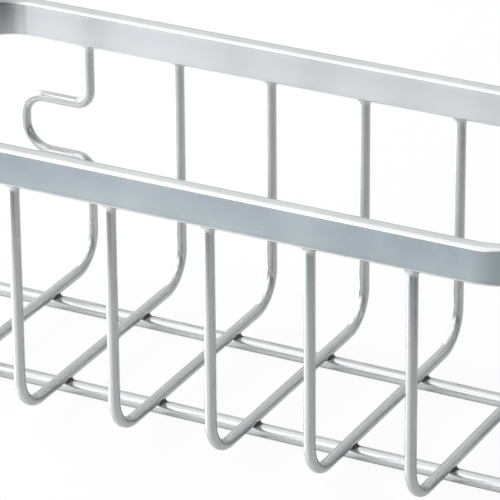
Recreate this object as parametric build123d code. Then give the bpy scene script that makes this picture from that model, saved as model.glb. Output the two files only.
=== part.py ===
from build123d import *
import os

# Kitchen sink caddy: an open basket of round wires welded under a flat bar rim.
# Millimetres. X runs along the caddy, Y from front to back, Z up.
# The origin is the middle of the footprint, on the surface that the base wires rest on.

# Rim: a flat bar set on edge and bent to a rounded rectangle
rim_length = 180.0
rim_depth = 80.5
rim_height = 9.0
rim_thickness = 4.0
rim_corner_radius = 16.0
rim_edge_radius = 1.3

# Height from the surface that the caddy stands on to the rim's top
caddy_height = 69.0

# Cross wires: each is a U from the front of the rim to its back
cross_wire_diameter = 2.6
cross_wire_count = 6
cross_bend_inside_radius = 7.1
end_wire_inset = 30.0

# Base wires: two long U wires under the cross wires, up to the rim's short sides
base_wire_diameter = 3.2
base_bend_inside_radius = 8.4
base_wire_front_inset = 20.8
base_wire_back_inset = 18.8

# Notch for a suction cup's neck, in the back leg of each end cross wire
notch_drop = 15.2
notch_gap = 11.3
notch_reach = 17.6
notch_entry_inside_radius = 2.2
notch_upper_inside_radius = 4.0
notch_lower_inside_radius = 5.6

# Welds: crossing wires sink into each other a little, and each leg flares at the rim
weld_set_down = 0.2
weld_flare = 0.35
weld_flare_height = 0.7

# Places worked out from the sizes above
cross_radius = cross_wire_diameter / 2
base_radius = base_wire_diameter / 2
rim_underside = caddy_height - rim_height
leg_half_span = (rim_depth - rim_thickness) / 2
end_leg_half_span = (rim_length - rim_thickness) / 2
run_height = base_wire_diameter + cross_radius - weld_set_down
end_wire_place = rim_length / 2 - end_wire_inset
cross_wire_pitch = 2 * end_wire_place / (cross_wire_count - 1)
notch_top = rim_underside - notch_drop
notch_bottom = notch_top - notch_gap - cross_wire_diameter


def round_bar(path, radius):
    """Round wire of one radius along a path of straight runs and arcs."""
    end = Plane(origin=path @ 0, z_dir=path % 0)
    return sweep(end * Circle(radius), path=path)


def weld_collar(place, radius):
    """Flare of weld metal where a leg of this radius meets the rim's underside."""
    wide = radius + weld_flare
    flare = Cone(
        radius,
        wide,
        weld_flare_height,
        align=(Align.CENTER, Align.CENTER, Align.MAX),
    )
    root = Cylinder(wide, rim_edge_radius, align=(Align.CENTER, Align.CENTER, Align.MIN))
    return Pos(*place) * (flare + root)


def make_rim():
    """Flat bar with rounded edges, swept once round the bend line of the rim."""
    bend_line = RectangleRounded(
        rim_length - rim_thickness,
        rim_depth - rim_thickness,
        rim_corner_radius - rim_thickness / 2,
    ).wire()
    path = Pos(0, 0, rim_underside + rim_height / 2) * bend_line
    section = RectangleRounded(rim_height, rim_thickness, rim_edge_radius)
    start = Plane(origin=path @ 0, x_dir=(0, 0, 1), z_dir=path % 0)
    return sweep(start * section, path=path)


def make_base_wire(y, rim):
    """Long U: along the base, then up at both ends to the underside of the rim."""
    path = FilletPolyline(
        (-end_leg_half_span, y, rim_underside),
        (-end_leg_half_span, y, base_radius),
        (end_leg_half_span, y, base_radius),
        (end_leg_half_span, y, rim_underside),
        radius=base_bend_inside_radius + base_radius,
    )
    wire = round_bar(path, base_radius)
    for end in (path @ 0, path @ 1):
        wire += weld_collar(end, base_radius)
    return wire - rim


def make_cross_wire(x, notch_side, rim, base_wires):
    """U across the depth; notch_side is -1 or 1 for a notch to the left or right."""
    points = [
        (x, -leg_half_span, rim_underside),
        (x, -leg_half_span, run_height),
        (x, leg_half_span, run_height),
    ]
    radii = [cross_bend_inside_radius + cross_radius] * 2
    if notch_side:
        out = x + notch_side * notch_reach
        entry = notch_entry_inside_radius + cross_radius
        lower = notch_lower_inside_radius + cross_radius
        upper = notch_upper_inside_radius + cross_radius
        points += [
            (x, leg_half_span, notch_bottom),
            (out, leg_half_span, notch_bottom),
            (out, leg_half_span, notch_top),
            (x, leg_half_span, notch_top),
        ]
        radii += [entry, lower, upper, entry]
    points.append((x, leg_half_span, rim_underside))
    path = FilletPolyline(*points, radius=radii)
    wire = round_bar(path, cross_radius)
    for end in (path @ 0, path @ 1):
        wire += weld_collar(end, cross_radius)
    wire -= rim
    for base_wire in base_wires:
        wire -= base_wire
    return wire


rim_band = make_rim()
base_wire_front = make_base_wire(-leg_half_span + base_wire_front_inset, rim_band)
base_wire_back = make_base_wire(leg_half_span - base_wire_back_inset, rim_band)
base_pair = (base_wire_front, base_wire_back)

parts = {
    "rim_band": rim_band,
    "base_wire_front": base_wire_front,
    "base_wire_back": base_wire_back,
    "notched_wire_left": make_cross_wire(-end_wire_place, -1, rim_band, base_pair),
    "notched_wire_right": make_cross_wire(end_wire_place, 1, rim_band, base_pair),
}
for number in range(1, cross_wire_count - 1):
    place = -end_wire_place + number * cross_wire_pitch
    parts[f"cross_wire_{number}"] = make_cross_wire(place, 0, rim_band, base_pair)

os.makedirs("parts", exist_ok=True)
for name, shape in parts.items():
    export_step(shape, f"parts/{name}.step")
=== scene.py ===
import bpy
import numpy as np
from mathutils import Matrix, Vector


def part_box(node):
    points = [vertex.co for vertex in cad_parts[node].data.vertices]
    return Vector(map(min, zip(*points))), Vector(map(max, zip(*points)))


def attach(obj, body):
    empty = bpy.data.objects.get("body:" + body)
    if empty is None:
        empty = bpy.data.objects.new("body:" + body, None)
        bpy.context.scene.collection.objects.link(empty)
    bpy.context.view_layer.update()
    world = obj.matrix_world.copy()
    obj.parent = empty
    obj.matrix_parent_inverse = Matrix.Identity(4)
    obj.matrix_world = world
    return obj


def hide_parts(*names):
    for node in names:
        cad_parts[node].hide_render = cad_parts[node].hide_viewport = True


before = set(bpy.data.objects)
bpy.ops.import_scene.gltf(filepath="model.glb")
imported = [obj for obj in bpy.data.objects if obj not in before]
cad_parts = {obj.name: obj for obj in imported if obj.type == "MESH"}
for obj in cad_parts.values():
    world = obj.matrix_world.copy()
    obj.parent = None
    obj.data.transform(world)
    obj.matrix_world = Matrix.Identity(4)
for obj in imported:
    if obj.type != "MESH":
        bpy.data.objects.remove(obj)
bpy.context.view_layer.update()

# Kitchen sink caddy: a flat bar rim with six bent cross wires and two base wires welded under it.
# Lengths in the dictionaries are millimetres, and meshes are in metres.

mm = 0.001
tiny = 1e-9              # slack for comparing two lengths in mm


def nodeBox(node):
    # lowest and highest corner of a CAD node, in millimetres
    return [np.array(corner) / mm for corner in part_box(node)]


def easeInOut(share):
    # n^2 (3 - 2n), level at both ends
    return share ** 2 * (3 - 2 * share)


def skin(name, tubes, material, node=None):
    # A tube is (grid, along, girth, ring): grid[i, j] is a point, rows i run along the tube and
    # columns j close round it. A ring closes its rows too, other tubes get a flat end cap.
    # The UV of a face corner is (way round, way along), in metres. The piece stands in for the
    # CAD node, where one is given.
    points, faces, uvs, start = [], [], [], 0
    for grid, along, girth, ring in tubes:
        rows, cols = grid.shape[:2]
        i, j = np.meshgrid(np.arange(rows if ring else rows - 1), np.arange(cols), indexing="ij")
        i, j = i.ravel(), j.ravel()
        rowStep, colStep = np.array([0, 0, 1, 1]), np.array([0, 1, 1, 0])
        quads = ((i[:, None] + rowStep) % rows) * cols + (j[:, None] + colStep) % cols
        faces += (quads + start).tolist()
        uvs.append(np.stack([girth[j[:, None] + colStep], along[i[:, None] + rowStep]], axis=-1))
        if not ring:
            caps = [np.arange(cols)[::-1], np.arange(cols) + (rows - 1) * cols]
            faces += [(cap + start).tolist() for cap in caps]
            uvs += [np.stack([girth[:cols], np.full(cols, along[row])], axis=-1) for row in (0, -1)]
        points.append(grid.reshape(-1, 3))
        start += rows * cols
    mesh = bpy.data.meshes.new(name)
    mesh.from_pydata((np.concatenate(points) * mm).tolist(), [], faces)
    flat = np.concatenate([uv.reshape(-1, 2) for uv in uvs]) * mm
    mesh.uv_layers.new(name="surface").data.foreach_set("uv", flat.astype(np.float32).ravel())
    mesh.polygons.foreach_set("use_smooth", np.ones(len(faces), dtype=bool))
    mesh.materials.append(material)
    mesh.update()
    piece = bpy.data.objects.new(name, mesh)
    bpy.context.collection.objects.link(piece)
    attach(piece, "root")
    if node:
        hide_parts(node)
    return piece


def linear(hexColour):
    # sRGB hex to a linear RGBA value
    srgb = np.array([int(hexColour[k:k + 2], 16) for k in (1, 3, 5)]) / 255
    return (*np.where(srgb <= 0.04045, srgb / 12.92, ((srgb + 0.055) / 1.055) ** 2.4), 1.0)


def addNode(tree, kind, settings=(), links=()):
    # one node: settings are attributes, or input defaults by name or number, and links say
    # which output feeds an input
    node = tree.nodes.new(kind)
    for key, value in dict(settings).items():
        if isinstance(key, int) or key in node.inputs:
            node.inputs[key].default_value = value
        else:
            setattr(node, key, value)
    for key, source in dict(links).items():
        tree.links.new(source, node.inputs[key])
    return node


def newMaterial(name):
    # a material with an empty node tree
    material = bpy.data.materials.new(name)
    material.use_nodes = True
    material.node_tree.nodes.clear()
    return material, material.node_tree


# Materials

satinBar = {
    # flat bar ground along its length: broad, soft highlights that streak along the bar
    "name": "stainlessFlatBarSatinGround",
    "lowColour": "#D2D3D4",
    "highColour": "#DFDFE0",
    "cloudSize": 16.0,
    "lineSpacing": 0.22,       # real grinding lines are finer, drawn this coarse to show
    "lineLength": 24.0,
    "lineDepth": 0.0035,
    "roughness": (0.22, 0.27),
    "anisotropy": 0.45,
    "paintedCornerReflectionColour": "#7C7A79",   # painted dark reflection inside each corner of the bar, darkest near its top
}

brightWire = {
    # drawn, then electropolished wire: one bright narrow highlight with darker greys beside it
    "name": "stainlessWireDrawnElectropolished",
    "lowColour": "#C2C2C1",
    "highColour": "#CCCCCB",
    "cloudSize": 9.0,
    "lineSpacing": 0.3,        # die lines of drawn wire, drawn coarser than they are
    "lineLength": 30.0,
    "lineDepth": 0.0012,
    "roughness": (0.21, 0.29),
    "anisotropy": 0.3,
}

weldBead = {
    # weld metal, darker and rougher than the wire, partly heat tint and partly a painted contact shadow,
    # so each bead reads as a small dark knot
    "name": "stainlessWeldBeadHeatTintAndPaintedShadow",
    # these dark colours hold a painted contact shadow as well as the weld's heat tint
    "lowColour": "#454340",
    "highColour": "#6B6863",
    "cloudSize": 1.2,
    "lineSpacing": 0.4,        # ripples of the bead
    "lineLength": 0.8,
    "lineDepth": 0.02,
    "roughness": (0.4, 0.55),
    "anisotropy": 0.0,
}

steelPattern = {
    "lineDetail": 3.0,
    "lineRoughness": 0.6,
    "cloudDetail": 4.0,
    "cloudRoughness": 0.55,
    "lineShare": 0.35,           # how much the lines add to the tone of the clouds
    "toneLevels": (0.45, 0.9),   # levels of that sum that give the low and the high colour
    "roughLevels": (0.3, 0.7),   # levels of the clouds that give the least and most roughness
}


def steel(look):
    # Stainless steel: metallic, fine lines along the bar or wire, and soft clouds of tone.
    # The lines stretch every highlight across the bar, the clouds break up its even grey.
    material, tree = newMaterial(look["name"])
    surface = addNode(tree, "ShaderNodeUVMap", {"uv_map": "surface"})
    stretch = (1 / (look["lineSpacing"] * mm), 1 / (look["lineLength"] * mm), 1)
    lineMap = addNode(tree, "ShaderNodeMapping", {"Scale": stretch}, {"Vector": surface.outputs["UV"]})
    lines = addNode(tree, "ShaderNodeTexNoise",
                    {"Scale": 1.0, "Detail": steelPattern["lineDetail"],
                     "Roughness": steelPattern["lineRoughness"]},
                    {"Vector": lineMap.outputs["Vector"]})
    place = addNode(tree, "ShaderNodeTexCoord")
    clouds = addNode(tree, "ShaderNodeTexNoise",
                     {"Scale": 1 / (look["cloudSize"] * mm), "Detail": steelPattern["cloudDetail"],
                      "Roughness": steelPattern["cloudRoughness"]},
                     {"Vector": place.outputs["Object"]})
    both = addNode(tree, "ShaderNodeMath", {"operation": "MULTIPLY_ADD", 1: steelPattern["lineShare"]},
                   {0: lines.outputs["Fac"], 2: clouds.outputs["Fac"]})
    tone = addNode(tree, "ShaderNodeValToRGB", links={"Fac": both.outputs["Value"]})
    colours = (look["lowColour"], look["highColour"])
    for stop, level, colour in zip(tone.color_ramp.elements, steelPattern["toneLevels"], colours):
        stop.position, stop.color = level, linear(colour)
    (smoothLevel, roughLevel), (smooth, roughest) = steelPattern["roughLevels"], look["roughness"]
    rough = addNode(tree, "ShaderNodeMapRange",
                    {"From Min": smoothLevel, "From Max": roughLevel,
                     "To Min": smooth, "To Max": roughest},
                    {"Value": clouds.outputs["Fac"]})
    bump = addNode(tree, "ShaderNodeBump", {"Distance": look["lineDepth"] * mm, "Strength": 1.0},
                   {"Height": lines.outputs["Fac"]})
    grain = addNode(tree, "ShaderNodeTangent", {"direction_type": "UV_MAP", "uv_map": "surface"})
    base = tone.outputs["Color"]
    # a painted dark reflection inside the bar's corners, mixed over the bar's tone
    if "paintedCornerReflectionColour" in look:
        paintedReflection = addNode(tree, "ShaderNodeAttribute", {"attribute_name": "paintedCornerReflection"})
        base = addNode(tree, "ShaderNodeMix", {"data_type": "RGBA", 7: linear(look["paintedCornerReflectionColour"])},
                       {0: paintedReflection.outputs["Fac"], 6: base}).outputs[2]
    shader = addNode(tree, "ShaderNodeBsdfPrincipled",
                     {"Metallic": 1.0, "Anisotropic": look["anisotropy"]},
                     {"Base Color": base, "Roughness": rough.outputs["Result"],
                      "Normal": bump.outputs["Normal"], "Tangent": grain.outputs["Tangent"]})
    addNode(tree, "ShaderNodeOutputMaterial", links={"Surface": shader.outputs["BSDF"]})
    return material


barSteel = steel(satinBar)
wireSteel = steel(brightWire)
beadSteel = steel(weldBead)
print("materials made")

# Rim

rim = {
    "thickness": 4.0,
    "edgeAcross": 1.9,         # the bar's narrow sides are rolled to a low crown that turns
    "edgeDown": 0.9,           # faster near the faces
    "edgePower": 2.0,
    "outerCorner": 16.0,
    "crown": 0.02,             # the long faces of rolled bar are very slightly rounded
    "runStep": 2.0,
    "cornerSteps": 40,
    "edgeSteps": 16,
    "faceShares": (0.15, 0.3, 0.5, 0.7, 0.85),
    "reflectionRunIn": 0.42,         # share of the corner's arc over which the painted dark reflection comes and goes
    "reflectionLow": 0.25,           # strength of the painted dark reflection at the bar's underside, 1 at its top
}

rimLow, rimHigh = nodeBox("rim_band")
rim["height"] = rimHigh[2] - rimLow[2]
rim["underside"] = rimLow[2]
rim["halfSpan"] = (rimHigh[:2] - rimLow[:2] - rim["thickness"]) / 2    # centre line, X and Y


def rimProfile():
    # Four edges |u/across|^p + |v/down|^p = 1 about their centres, joined by faces whose middle
    # stands proud by the crown. Columns are (outwards, upwards), from outwards to downwards.
    reach = np.array([rim["thickness"], rim["height"]]) / 2
    edge = np.array([rim["edgeAcross"], rim["edgeDown"]])
    power = rim["edgePower"]
    turn = np.linspace(0, np.pi / 2, rim["edgeSteps"] + 1)
    corners, profile = [], []
    for quarter in range(4):
        angle = turn + quarter * np.pi / 2
        spoke = np.stack([np.cos(angle), -np.sin(angle)], axis=1)
        side = np.sign(spoke.mean(axis=0))
        size = (np.abs(spoke) ** power).sum(axis=1, keepdims=True) ** (1 / power)
        corners.append(side * (reach - edge) + edge * spoke / size)
    share = np.array(rim["faceShares"])[:, None]
    for quarter in range(4):
        first, last = corners[quarter], corners[(quarter + 1) % 4][0]
        profile += [first, first[-1] + (last - first[-1]) * share]
    profile = np.concatenate(profile)
    longFace = np.abs(np.abs(profile[:, 0]) - reach[0]) < tiny
    profile[:, 0] -= longFace * np.sign(profile[:, 0]) * rim["crown"] * (profile[:, 1] / reach[1]) ** 2
    return profile


def rimPath():
    # Closed rounded rectangle: a quarter circle about each corner's centre, then a straight run.
    # Returns the centre line, the outward direction, and how far through its corner a row is.
    radius = rim["outerCorner"] - rim["thickness"] / 2
    inner = rim["halfSpan"] - radius
    share = np.linspace(0, 1, rim["cornerSteps"] + 1)
    line, outward, through = [], [], []
    for quarter in range(4):
        angle = (share + quarter) * np.pi / 2
        side = np.sign([np.cos(angle.mean()), np.sin(angle.mean())])
        out = np.stack([np.cos(angle), np.sin(angle)], axis=1)
        line.append(side * inner + radius * out)
        runLength = 2 * inner[quarter % 2]
        count = int(runLength / rim["runStep"])
        ahead = np.array([-out[-1, 1], out[-1, 0]])
        line.append(line[-1][-1] + ahead * runLength * np.arange(1, count)[:, None] / count)
        outward += [out, np.repeat(out[-1:], count - 1, axis=0)]
        through += [share, np.zeros(count - 1)]
    return np.concatenate(line), np.concatenate(outward), np.concatenate(through)


def wayRound(points):
    # distance along a closed line to each of its points, and at last back to the first
    steps = np.linalg.norm(np.diff(points, axis=0, append=points[:1]), axis=1)
    return np.concatenate([[0], np.cumsum(steps)])


def rimSurface():
    # point(i, j) = line(i) + outward(i) * profile x(j) + up * profile y(j)
    line, outward, through = rimPath()
    profile = rimProfile()
    flat = line[:, None, :] + outward[:, None, :] * profile[None, :, :1]
    middle = rim["underside"] + rim["height"] / 2
    height = np.broadcast_to(middle + profile[:, 1], flat.shape[:2])
    return np.concatenate([flat, height[:, :, None]], axis=2), wayRound(line), wayRound(profile), True


def paintedCornerReflection():
    # Strength of the painted dark reflection inside the corners, from 0 to 1: eased over the run-in,
    # times how far inwards a column lies, eased too, times a strength that rises up the bar.
    through, profile = rimPath()[2], rimProfile()
    near = np.clip(np.minimum(through, 1 - through) / rim["reflectionRunIn"], 0, 1)
    inwards = np.clip(-2 * profile[:, 0] / rim["thickness"], 0, 1)
    upwards = rim["reflectionLow"] + (1 - rim["reflectionLow"]) * (profile[:, 1] / rim["height"] + 0.5)
    return easeInOut(near)[:, None] * easeInOut(inwards) * upwards


rimBand = skin("rimBand", [rimSurface()], barSteel, "rim_band")
# strength of the painted dark reflection, kept on the rim's points
paintedReflectionLayer = rimBand.data.attributes.new("paintedCornerReflection", "FLOAT", "POINT")
paintedReflectionLayer.data.foreach_set("value", paintedCornerReflection().astype(np.float32).ravel())
print("rim made")

# Wires

wire = {
    "plainCount": 4,           # cross wires between the two notched ones
    "crossDiameter": 2.6,
    "baseDiameter": 3.2,
    "crossBendInside": 7.1,
    "baseBendInside": 8.4,
    "notchReach": 17.6,
    "notchDrop": 15.2,
    "notchGap": 11.3,
    "notchEntryInside": 2.2,
    "notchUpperInside": 4.0,
    "notchLowerInside": 5.6,
    "setDown": 0.2,            # crossing wires sink into each other where they are welded
    "bendFlattening": 0.03,    # share of the radius, in the middle of a bend
    "rowStep": 0.8,
    "sides": 48,
}

collar = {
    "flareAlong": 1.1,         # along the bar, and across it, where the bar's width is the limit
    "flareAcross": 0.6,
    "height": 1.75,
    "overlap": 1.2,            # how far a wire's end runs up inside the rim
    "outline": 0.35,           # how far the CAD collar stands out, which places the notched wires
    "rowStep": 0.05,
    "fade": 1.2,               # below the collar, where rows turn level again
}


def bentLine(corners, radii, normal):
    # Straight runs joined by arcs. A corner p between directions a and b, turning by t, has its
    # arc from p - a r tan(t/2), about a centre one radius inwards. The normal is carried along
    # and turns only with the bends. Squeeze points at the arc's centre, and grows along the arc
    # as a half sine from 0 to 1 and back. Rows are closer together at both ends.
    corners, radii = np.array(corners, dtype=float), np.array(radii)
    runs = np.diff(corners, axis=0)
    lengths = np.linalg.norm(runs, axis=1)
    ways = runs / lengths[:, None]
    turns = np.arccos(np.clip((ways[:-1] * ways[1:]).sum(axis=1), -1, 1))
    cuts = np.concatenate([[0], radii * np.tan(turns / 2), [0]])
    straight = lengths - cuts[:-1] - cuts[1:]
    ends = np.cumsum(np.stack([straight, np.append(radii * turns, 0)], axis=1).ravel())
    fineLength = collar["overlap"] + 2 * collar["height"] + collar["fade"]
    fine = np.arange(0, fineLength, collar["rowStep"])
    middle = np.linspace(fineLength, ends[-1] - fineLength, int(ends[-1] / wire["rowStep"]))
    along = np.concatenate([fine, middle, ends[-1] - fine[::-1]])
    points, directions, normals, squeeze = np.zeros((4, len(along), 3))
    normal = np.array(normal, dtype=float)
    for k, way in enumerate(ways):
        begin = ends[2 * k] - straight[k]
        here = (along >= begin - tiny) & (along <= ends[2 * k] + tiny)
        points[here] = corners[k] + way * (cuts[k] + along[here] - begin)[:, None]
        directions[here], normals[here] = way, normal
        if k == len(ways) - 1:
            continue
        inward = ways[k + 1] - way * (way @ ways[k + 1])
        inward /= np.linalg.norm(inward)
        axle = np.cross(way, inward)
        here = (along > ends[2 * k]) & (along < ends[2 * k + 1])
        angle = ((along[here] - ends[2 * k]) / radii[k])[:, None]
        towards = np.cos(angle) * inward - np.sin(angle) * way
        points[here] = corners[k + 1] - way * cuts[k + 1] + radii[k] * (inward - towards)
        directions[here] = np.cos(angle) * way + np.sin(angle) * inward
        normals[here] = (normal @ inward) * towards + (normal @ axle) * axle
        squeeze[here] = np.sin(np.pi * angle / turns[k]) * towards
        last = np.cos(turns[k]) * inward - np.sin(turns[k]) * way
        normal = (normal @ inward) * last + (normal @ axle) * axle
    return points, directions, normals, squeeze, along


def undersideRise(offset):
    # height of the rim's rounded underside above its flat, at an offset from the bar's middle
    past = np.abs(offset) - rim["thickness"] / 2 + rim["edgeAcross"]
    share = np.clip(past / rim["edgeAcross"], 0, 1)
    return rim["edgeDown"] * (1 - (1 - share ** rim["edgePower"]) ** (1 / rim["edgePower"]))


def wireSurface(corners, radii, radius, normal, across):
    # point(s, a) = centre(s) + r(s) (cos(a) normal + sin(a) direction x normal). In a bend the
    # spoke is shortened a little towards the bend's centre. Near the rim r grows as a quarter
    # ellipse, more along the bar than across it (across is the bar's cross axis, 0 or 1), and the
    # rows rise with the rim's rounded underside, so the weld closes all round.
    points, directions, normals, squeeze, along = bentLine(corners, radii, normal)
    angle = np.arange(wire["sides"] + 1) * 2 * np.pi / wire["sides"]
    below = np.minimum(along, along[-1] - along) - collar["overlap"]
    climb = np.clip(1 - below / collar["height"], 0, 1)
    growth = 1 - np.sqrt(1 - climb ** 2)
    flare = np.full(3, collar["flareAlong"])
    flare[across] = min(collar["flareAcross"], rim["thickness"] / 2 - radius)
    spoke = (np.cos(angle[:-1, None]) * normals[:, None, :]
             + np.sin(angle[:-1, None]) * np.cross(directions, normals)[:, None, :])
    rise = undersideRise(spoke[:, :, across] * (radius + flare[across]))
    fade = np.clip(1 - (below - collar["height"]) / collar["fade"], 0, 1)
    inBend = (spoke * squeeze[:, None, :]).sum(axis=2, keepdims=True)
    spoke = spoke - wire["bendFlattening"] * inBend * squeeze[:, None, :]
    grid = points[:, None, :] + (radius + growth[:, None, None] * flare) * spoke
    grid[:, :, 2] += rise * easeInOut(fade)[:, None]
    return grid, along, angle * radius, False


crossRadius, baseRadius = wire["crossDiameter"] / 2, wire["baseDiameter"] / 2
endHeight = rim["underside"] + collar["overlap"]
runHeight = 2 * baseRadius + crossRadius - wire["setDown"]
endSpan, legSpan = rim["halfSpan"]
alongX, alongY = (1, 0, 0), (0, 1, 0)


def crossWireSurface(x, notchSide):
    # a U across the depth, notchSide -1 or 1 for a notch to the left or right of its back leg
    corners = [(x, -legSpan, endHeight), (x, -legSpan, runHeight), (x, legSpan, runHeight)]
    radii = [wire["crossBendInside"] + crossRadius] * 2
    if notchSide:
        out = x + notchSide * wire["notchReach"]
        top = rim["underside"] - wire["notchDrop"]
        bottom = top - wire["notchGap"] - wire["crossDiameter"]
        entry = wire["notchEntryInside"] + crossRadius
        lower = wire["notchLowerInside"] + crossRadius
        upper = wire["notchUpperInside"] + crossRadius
        corners += [(x, legSpan, bottom), (out, legSpan, bottom),
                    (out, legSpan, top), (x, legSpan, top)]
        radii += [entry, lower, upper, entry]
    corners.append((x, legSpan, endHeight))
    return wireSurface(corners, radii, crossRadius, alongX, across=1)


def baseWireSurface(y):
    # a long U under the cross wires, up at both ends to the rim's short sides
    corners = [(-endSpan, y, endHeight), (-endSpan, y, baseRadius),
               (endSpan, y, baseRadius), (endSpan, y, endHeight)]
    radii = [wire["baseBendInside"] + baseRadius] * 2
    return wireSurface(corners, radii, baseRadius, alongY, across=0)


def middleOf(node, axis):
    # middle of a CAD node's box along one axis
    low, high = nodeBox(node)
    return (low[axis] + high[axis]) / 2


crossPlaces, basePlaces = [], []
for side, word in ((-1, "left"), (1, "right")):
    node = f"notched_wire_{word}"
    low, high = nodeBox(node)
    legFoot = (high if side < 0 else low)[0]     # the box's plain side is the weld's collar
    x = legFoot + side * (crossRadius + collar["outline"])
    crossPlaces.append(x)
    skin(f"notchedWire{word.capitalize()}", [crossWireSurface(x, side)], wireSteel, node)
for number in range(1, wire["plainCount"] + 1):
    node = f"cross_wire_{number}"
    x = middleOf(node, 0)
    crossPlaces.append(x)
    skin(f"crossWire{number}", [crossWireSurface(x, 0)], wireSteel, node)
for word in ("front", "back"):
    node = f"base_wire_{word}"
    y = middleOf(node, 1)
    basePlaces.append(y)
    skin(f"baseWire{word.capitalize()}", [baseWireSurface(y)], wireSteel, node)
print("wires made")

# Welds where the cross wires lie on the base wires

crossingWeld = {
    "alongReach": 2.15,        # how far the bead runs out along each wire from the crossing
    "acrossReach": 1.12,
    "waist": 0.2,
    "bury": 0.06,              # how far the bead's edges lie inside the wires
    "rows": 14,
    "columns": 48,
}


def crossingWeldSurface(x, y):
    # A saddle: an ellipse long in X on the base wire's top, z + sqrt(R2 - dy2), turns with t into
    # one long in Y on the cross wire's underside, z - sqrt(r2 - dx2), waisted by sin(pi t) between
    reach = np.array([crossingWeld["alongReach"], crossingWeld["acrossReach"]])
    angle = np.arange(crossingWeld["columns"] + 1) * 2 * np.pi / crossingWeld["columns"]
    share = np.linspace(0, 1, crossingWeld["rows"])[:, None, None]
    spoke = np.stack([np.cos(angle[:-1]), np.sin(angle[:-1])], axis=1)
    foot, head = reach * spoke, reach[::-1] * spoke
    lower = baseRadius + np.sqrt(baseRadius ** 2 - foot[:, 1] ** 2) - crossingWeld["bury"]
    upper = runHeight - np.sqrt(crossRadius ** 2 - head[:, 0] ** 2) + crossingWeld["bury"]
    flat = foot + (head - foot) * share - crossingWeld["waist"] * np.sin(np.pi * share) * spoke
    height = lower + (upper - lower) * share[:, :, 0]
    grid = np.concatenate([flat + (x, y), height[:, :, None]], axis=2)
    return grid, share[:, 0, 0] * reach.max(), angle * reach.mean(), False


welds = [crossingWeldSurface(x, y) for x in sorted(crossPlaces) for y in basePlaces]
skin("crossingWelds", welds, beadSteel)
print("welds made")

# Floor, light and camera

floor = {
    "left": -700.0, "right": 150.0, "front": -136.0, "back": 1400.0,
    "below": 0.05,             # just under the base wires
    "colour": "#F1F1F1",
    "whiteShare": 0.93,
    "glowShare": 0.2,          # what metal sees in the sheet: part white, part paper in its
    "glossShare": 0.45,        # own shade, and part a soft gloss
    "glossRoughness": 0.3,
}

studio = {
    "bright": "#FFFFFF",
    "middle": "#C8CCCE",
    "dark": "#A0A3A3",
    "darkWay": (0.8, -0.6, 0.0),        # the room greys towards the front right
    "darkReach": 0.9,
    "middleShare": 0.6,
    "wall": "#B7BFC3",                  # greyer near the horizon, above it and below
    "wallSlopes": (0.32, 0.05),
    "table": "#E0F0F7",                 # bluer past the sheet's edge, well below the horizon
    "tableSlopes": (-0.05, -0.3),
    "lampColour": "#FAFCFF",
    "roomStrength": 0.35,
}

softboxes = {
    # from the middle of the caddy: direction, distance, width and height in mm, brightness
    "frontLeft": ((-0.41, -0.7, 0.45), 800, (1000, 900), 1.3),
    "leftWall": ((-0.93, 0.08, 0.36), 700, (800, 420), 6.5),
    "ceiling": ((-0.3, -0.1, 0.95), 800, (800, 800), 0.6),
}

view = {
    "place": (395.96, -761.1, 439.89),
    "turn": 27.361,            # degrees to the left of straight back
    "tilt": 25.228,            # degrees down
    "roll": -0.441,
    "lens": 305.03,
    "sensor": 36.0,
}

white = (1, 1, 1, 1)


def sightRays(tree):
    # 1 for rays from the camera, mirrors and glass, which see the white surroundings, and the
    # outputs of the light path it is made from
    path = addNode(tree, "ShaderNodeLightPath").outputs
    seen = path["Is Camera Ray"]
    for output in ("Is Glossy Ray", "Is Transmission Ray"):
        seen = addNode(tree, "ShaderNodeMath", {"operation": "ADD", "use_clamp": True},
                       {0: seen, 1: path[output]}).outputs["Value"]
    return seen, path


def makeFloor():
    # a pale matt sheet, most of it plain white to the eye so that only a soft shadow shows
    corners = [(floor[a] * mm, floor[b] * mm, -floor["below"] * mm)
               for a, b in (("left", "front"), ("right", "front"), ("right", "back"), ("left", "back"))]
    mesh = bpy.data.meshes.new("floorSheet")
    mesh.from_pydata(corners, [], [(0, 1, 2, 3)])
    sheet = bpy.data.objects.new("floorSheet", mesh)
    bpy.context.collection.objects.link(sheet)
    material, tree = newMaterial("paperSheetMatt")
    seen, path = sightRays(tree)
    paper = addNode(tree, "ShaderNodeBsdfDiffuse", {"Color": linear(floor["colour"])}).outputs["BSDF"]
    glow = addNode(tree, "ShaderNodeEmission", {"Color": white, "Strength": 1.0}).outputs["Emission"]
    share = addNode(tree, "ShaderNodeMath", {"operation": "MULTIPLY", 1: floor["whiteShare"]}, {0: seen})
    direct = addNode(tree, "ShaderNodeMixShader", links={0: share.outputs["Value"], 1: paper, 2: glow})
    gloss = addNode(tree, "ShaderNodeBsdfAnisotropic", {"Roughness": floor["glossRoughness"]})
    matt = addNode(tree, "ShaderNodeMixShader", {0: floor["glowShare"]}, {1: paper, 2: glow})
    mirrored = addNode(tree, "ShaderNodeMixShader", {0: floor["glossShare"]},
                       {1: matt.outputs["Shader"], 2: gloss.outputs["BSDF"]})
    mixed = addNode(tree, "ShaderNodeMixShader",
                    links={0: path["Is Glossy Ray"], 1: direct.outputs["Shader"],
                           2: mirrored.outputs["Shader"]})
    addNode(tree, "ShaderNodeOutputMaterial", links={"Surface": mixed.outputs["Shader"]})
    mesh.materials.append(material)


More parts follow.
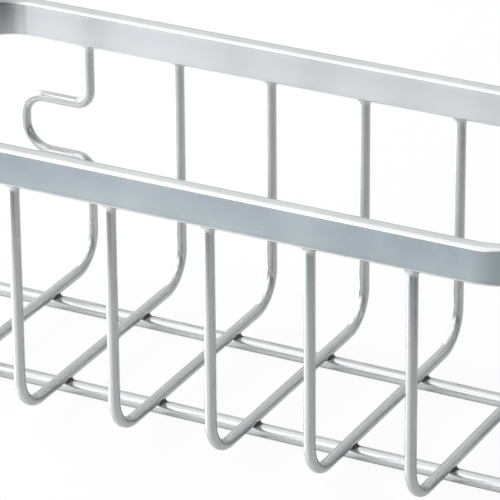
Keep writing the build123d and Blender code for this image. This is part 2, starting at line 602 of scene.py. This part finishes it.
def makeWorld():
    # A white room that greys towards one side, near the horizon and past the sheet's edge, as
    # metal sees it. It is plain white where the camera looks past the sheet.
    world = bpy.data.worlds.new("studioRoom")
    bpy.context.scene.world = world
    world.use_nodes = True
    tree = world.node_tree
    tree.nodes.clear()
    seen, path = sightRays(tree)
    way = addNode(tree, "ShaderNodeTexCoord").outputs["Generated"]
    facing = addNode(tree, "ShaderNodeVectorMath", {"operation": "DOT_PRODUCT", 1: studio["darkWay"]},
                     {0: way})
    share = addNode(tree, "ShaderNodeMapRange",
                    {"From Min": -studio["darkReach"], "From Max": studio["darkReach"]},
                    {"Value": facing.outputs["Value"]})
    shade = addNode(tree, "ShaderNodeValToRGB", links={"Fac": share.outputs["Result"]})
    stops = shade.color_ramp.elements
    stops[0].color, stops[1].color = linear(studio["bright"]), linear(studio["dark"])
    stops.new(studio["middleShare"]).color = linear(studio["middle"])
    room = shade.outputs["Color"]
    slope = addNode(tree, "ShaderNodeSeparateXYZ", links={"Vector": way}).outputs["Z"]
    steepness = addNode(tree, "ShaderNodeMath", {"operation": "ABSOLUTE"}, {0: slope}).outputs["Value"]
    for tone, level in (("wall", steepness), ("table", slope)):
        start, end = studio[tone + "Slopes"]
        near = addNode(tree, "ShaderNodeMapRange", {"From Min": start, "From Max": end}, {"Value": level})
        room = addNode(tree, "ShaderNodeMix",
                       {"data_type": "RGBA", "blend_type": "MULTIPLY", 7: linear(studio[tone])},
                       {0: near.outputs["Result"], 6: room}).outputs[2]
    cove = addNode(tree, "ShaderNodeMix", {"data_type": "RGBA", 7: white},
                   {0: path["Is Camera Ray"], 6: room})
    toEye = addNode(tree, "ShaderNodeBackground", {"Strength": 1.0}, {"Color": cove.outputs[2]})
    toLight = addNode(tree, "ShaderNodeBackground", {"Color": white, "Strength": studio["roomStrength"]})
    mixed = addNode(tree, "ShaderNodeMixShader",
                    links={0: seen, 1: toLight.outputs["Background"], 2: toEye.outputs["Background"]})
    addNode(tree, "ShaderNodeOutputWorld", links={"Surface": mixed.outputs["Shader"]})


def makeSoftbox(name, way, distance, size, brightness):
    # a soft area lamp that faces the middle of the caddy
    lamp = bpy.data.lights.new(name, "AREA")
    lamp.shape = "RECTANGLE"
    lamp.size, lamp.size_y = size[0] * mm, size[1] * mm
    lamp.energy = brightness * np.pi * lamp.size * lamp.size_y
    lamp.color = linear(studio["lampColour"])[:3]
    holder = bpy.data.objects.new(name, lamp)
    bpy.context.collection.objects.link(holder)
    way = Vector(way).normalized()
    middle = Vector((0, 0, rim["underside"] / 2)) * mm
    holder.matrix_world = (Matrix.Translation(middle + way * distance * mm)
                           @ way.to_track_quat("Z", "Y").to_matrix().to_4x4())
    holder.visible_camera = False


def makeCamera():
    # turned about the upright, tilted down, then rolled about its own line of sight
    camera = bpy.data.cameras.new("viewCamera")
    camera.sensor_width, camera.lens = view["sensor"], view["lens"]
    holder = bpy.data.objects.new("viewCamera", camera)
    bpy.context.collection.objects.link(holder)
    turn, tilt, roll = np.radians([view["turn"], 90 - view["tilt"], view["roll"]])
    place = Matrix.Translation(Vector(view["place"]) * mm)
    holder.matrix_world = (place @ Matrix.Rotation(turn, 4, "Z") @ Matrix.Rotation(tilt, 4, "X")
                           @ Matrix.Rotation(roll, 4, "Z"))
    bpy.context.scene.camera = holder


makeFloor()
makeWorld()
for name, (way, distance, size, brightness) in softboxes.items():
    makeSoftbox(name, way, distance, size, brightness)
makeCamera()
bpy.context.scene.view_settings.view_transform = "Standard"
print("floor, light and camera made")
